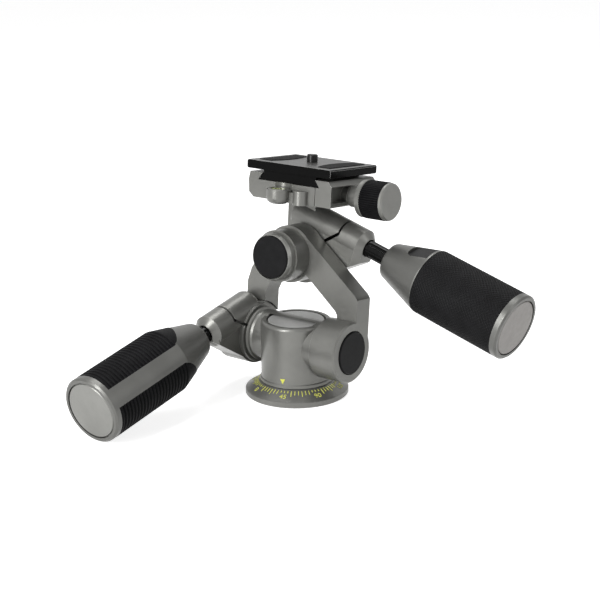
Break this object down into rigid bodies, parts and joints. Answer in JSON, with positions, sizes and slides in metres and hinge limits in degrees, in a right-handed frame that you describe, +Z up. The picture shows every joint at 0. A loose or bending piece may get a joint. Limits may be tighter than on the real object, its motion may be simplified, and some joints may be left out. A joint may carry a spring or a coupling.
{
  "type": "three way pan tilt head",
  "caption": "Tripod head that pans on a round base, tilts on a yoke and rolls on a front barrel, with a handle for each lock and a quick release camera plate.",
  "frame": {"origin": "centre of the base's underside, at the mouth of the tripod socket, on the pan axis", "axes": "+Z up the pan axis, +Y towards the lens of a mounted camera, +X along the tilt axis towards the round hub"},
  "size_m": [0.189, 0.1868, 0.1345],
  "materials": {
    "grey_coat": "satin powder coat",
    "light_coat": "satin powder coat",
    "black_plate": "black anodised",
    "black_rod": "glossy black",
    "black_disc": "fine matt",
    "grip_rubber": "ribbed",
    "soft_rubber": "matt",
    "steel": "turned",
    "brass": "turned",
    "scale_paint": "printed",
    "vial": "clear, filled",
    "slide_ring": "low friction"
  },
  "bodies": {
    "base": {"base_flange": "grey_coat", "pan_scale": "scale_paint", "tripod_bush": "brass", "base_pad": "soft_rubber", "pan_spindle": "steel", "spindle_screws": "steel"},
    "column": {"column_housing": "grey_coat", "column_cap": "light_coat", "index_pointer": "scale_paint", "pan_washer": "slide_ring", "pan_retaining_screws": "steel", "pan_brake_shoe": "brass", "tilt_shaft": "steel", "tilt_shaft_pin": "steel", "tilt_washers": "light_coat", "tilt_thrust_collar": "light_coat", "tilt_shaft_screws": "steel"},
    "pan_lock": {"pan_knob": "black_disc", "pan_knob_screw": "steel"},
    "yoke": {"yoke_frame": "grey_coat", "tilt_clamp": "grey_coat", "hub_bush": "brass", "tilt_hub_disc": "black_disc", "tilt_clamp_disc": "black_disc", "roll_shaft": "steel", "roll_collar": "light_coat", "roll_disc": "black_disc", "roll_washer": "slide_ring", "tilt_thrust_washer": "brass", "roll_retainer": "steel"},
    "tilt_handle": {"tilt_rod": "black_rod", "tilt_grip_core": "grey_coat", "tilt_grip_rubber": "grip_rubber", "tilt_end_disc": "light_coat"},
    "platform": {"roll_clamp": "grey_coat", "roll_clamp_disc": "black_disc", "release_body": "grey_coat", "release_bolt": "steel", "vial_glass": "vial", "vial_bezel": "light_coat", "roll_thrust_washer": "brass"},
    "roll_handle": {"roll_rod": "black_rod", "roll_grip_core": "grey_coat", "roll_grip_rubber": "grip_rubber", "roll_grip_inlay": "black_disc", "roll_end_disc": "light_coat"},
    "jaw": {"release_jaw": "grey_coat", "jaw_guide_pins": "steel"},
    "clamp_knob": {"knob_core": "grey_coat", "knob_rubber": "grip_rubber", "knob_cap": "light_coat", "knob_screw": "steel"},
    "plate": {"camera_plate": "black_plate", "plate_pads": "soft_rubber", "plate_stops": "steel"},
    "camera_screw": {"camera_screw": "steel", "screw_clip": "steel"}
  },
  "joints": [
    {"name": "pan", "type": "hinge", "parent": "base", "child": "column", "pos_m": [0, 0, 0.02], "axis": [0, 0, 1], "continuous": true},
    {"name": "pan_lock_twist", "type": "hinge", "parent": "column", "child": "pan_lock", "pos_m": [0, 0.025, 0.0146], "axis": [0, 1, 0], "range_deg": [-120, 60]},
    {"name": "tilt", "type": "hinge", "parent": "column", "child": "yoke", "pos_m": [0, 0, 0.031], "axis": [1, 0, 0], "range_deg": [-84.5, 35.5]},
    {"name": "tilt_handle_twist", "type": "hinge", "parent": "yoke", "child": "tilt_handle", "pos_m": [-0.0365, -0.00287, 0.04511], "axis": [0, -0.9799, -0.1994], "range_deg": [-150, 30]},
    {"name": "roll", "type": "hinge", "parent": "yoke", "child": "platform", "pos_m": [-0.0105, 0.03008, 0.07733], "axis": [0, 0.9954, -0.0958], "range_deg": [-90, 25]},
    {"name": "roll_handle_twist", "type": "hinge", "parent": "platform", "child": "roll_handle", "pos_m": [-0.00553, 0.0317, 0.09414], "axis": [0.9593, -0.0271, -0.281], "range_deg": [-150, 30]},
    {"name": "knob_spin", "type": "hinge", "parent": "jaw", "child": "clamp_knob", "pos_m": [0.0295, 0.02853, 0.11344], "axis": [1, 0, 0], "range_deg": [0, 720]},
    {"name": "jaw_slide", "type": "slide", "parent": "platform", "child": "jaw", "axis": [1, 0, 0], "range_m": [0, 0.004]},
    {"name": "plate_slide", "type": "slide", "parent": "platform", "child": "plate", "axis": [0, 0.9954, -0.0958], "range_m": [-0.012, 0.012]},
    {"name": "camera_screw_spin", "type": "hinge", "parent": "plate", "child": "camera_screw", "pos_m": [-0.0105, 0.02919, 0.12021], "axis": [0, 0.0958, 0.9954], "continuous": true}
  ],
  "couplings": [
    {"joint": "knob_spin", "follows": "jaw_slide", "rad_per_m": 3141.6}
  ]
}
